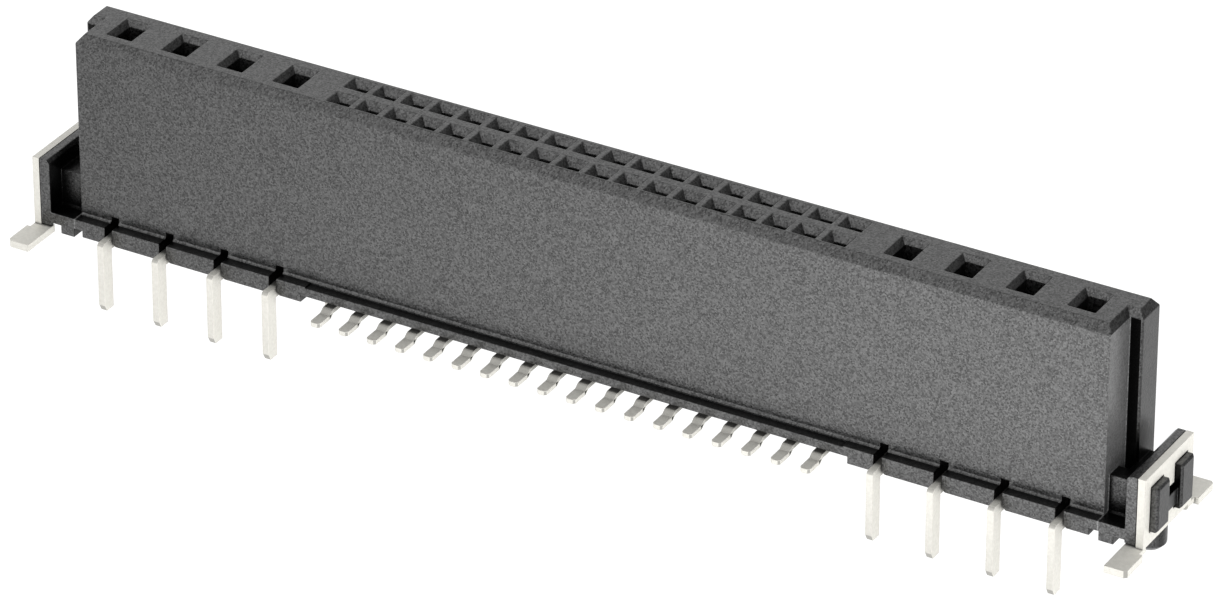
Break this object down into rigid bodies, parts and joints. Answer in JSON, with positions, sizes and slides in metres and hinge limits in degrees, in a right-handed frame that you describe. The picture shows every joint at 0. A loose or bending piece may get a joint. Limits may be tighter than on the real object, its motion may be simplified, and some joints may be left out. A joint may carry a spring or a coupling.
{
  "type": "board-mount receptacle strip",
  "caption": "Tall black female connector strip with funnel-shaped sockets, surface-mount feet, through-board tails, locating pegs and metal hold-down clips.",
  "frame": {"origin": "midway between the two socket rows at the middle of the strip, on the plane of the solder feet", "axes": "+X along the strip, +Y towards the rear side with the wider block, +Z out of the board towards the socket mouths"},
  "size_m": [0.0494, 0.0074, 0.0114],
  "materials": {
    "housing_plastic": "fine matte, slightly speckled",
    "contact_metal": "satin tin plating",
    "clip_metal": "satin tin plating"
  },
  "bodies": {
    "root": {"housing": "housing_plastic", "signal_contact_front_01": "contact_metal", "signal_contact_front_02": "contact_metal", "signal_contact_front_03": "contact_metal", "signal_contact_front_04": "contact_metal", "signal_contact_front_05": "contact_metal", "signal_contact_front_06": "contact_metal", "signal_contact_front_07": "contact_metal", "signal_contact_front_08": "contact_metal", "signal_contact_front_09": "contact_metal", "signal_contact_front_10": "contact_metal", "signal_contact_front_11": "contact_metal", "signal_contact_front_12": "contact_metal", "signal_contact_front_13": "contact_metal", "signal_contact_front_14": "contact_metal", "signal_contact_front_15": "contact_metal", "signal_contact_front_16": "contact_metal", "signal_contact_front_17": "contact_metal", "signal_contact_front_18": "contact_metal", "signal_contact_back_01": "contact_metal", "signal_contact_back_02": "contact_metal", "signal_contact_back_03": "contact_metal", "signal_contact_back_04": "contact_metal", "signal_contact_back_05": "contact_metal", "signal_contact_back_06": "contact_metal", "signal_contact_back_07": "contact_metal", "signal_contact_back_08": "contact_metal", "signal_contact_back_09": "contact_metal", "signal_contact_back_10": "contact_metal", "signal_contact_back_11": "contact_metal", "signal_contact_back_12": "contact_metal", "signal_contact_back_13": "contact_metal", "signal_contact_back_14": "contact_metal", "signal_contact_back_15": "contact_metal", "signal_contact_back_16": "contact_metal", "signal_contact_back_17": "contact_metal", "signal_contact_back_18": "contact_metal", "power_contact_1": "contact_metal", "power_contact_2": "contact_metal", "power_contact_3": "contact_metal", "power_contact_4": "contact_metal", "power_contact_5": "contact_metal", "power_contact_6": "contact_metal", "power_contact_7": "contact_metal", "power_contact_8": "contact_metal", "hold_down_left": "clip_metal", "hold_down_right": "clip_metal"}
  },
  "joints": []
}
